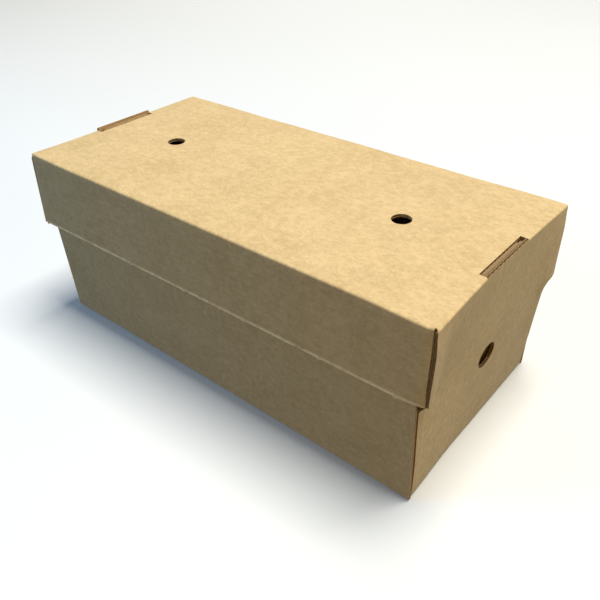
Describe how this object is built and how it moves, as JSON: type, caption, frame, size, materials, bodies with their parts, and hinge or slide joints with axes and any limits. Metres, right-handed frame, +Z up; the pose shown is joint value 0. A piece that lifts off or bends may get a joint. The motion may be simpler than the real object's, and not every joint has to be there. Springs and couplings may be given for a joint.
{
  "type": "burger box",
  "caption": "Long folded board takeaway box with a deep lid hinged on one short end, locking tabs in end slots and round steam vents.",
  "frame": {"origin": "on the floor, under the middle of the closed box", "axes": "+X along the box towards the hinged end, +Y across it towards the back, +Z up"},
  "size_m": [0.2312, 0.1104, 0.0906],
  "materials": {
    "tray_board": "matt brown kraft liner on single-wall board",
    "lid_board": "matt brown kraft liner on single-wall board"
  },
  "bodies": {
    "tray": {"tray": "tray_board"},
    "lid": {"lid": "lid_board"}
  },
  "joints": [
    {"name": "lid_hinge", "type": "hinge", "parent": "tray", "child": "lid", "pos_m": [0.1156, 0, 0.09], "axis": [0, 1, 0], "range_deg": [0, 180]}
  ]
}
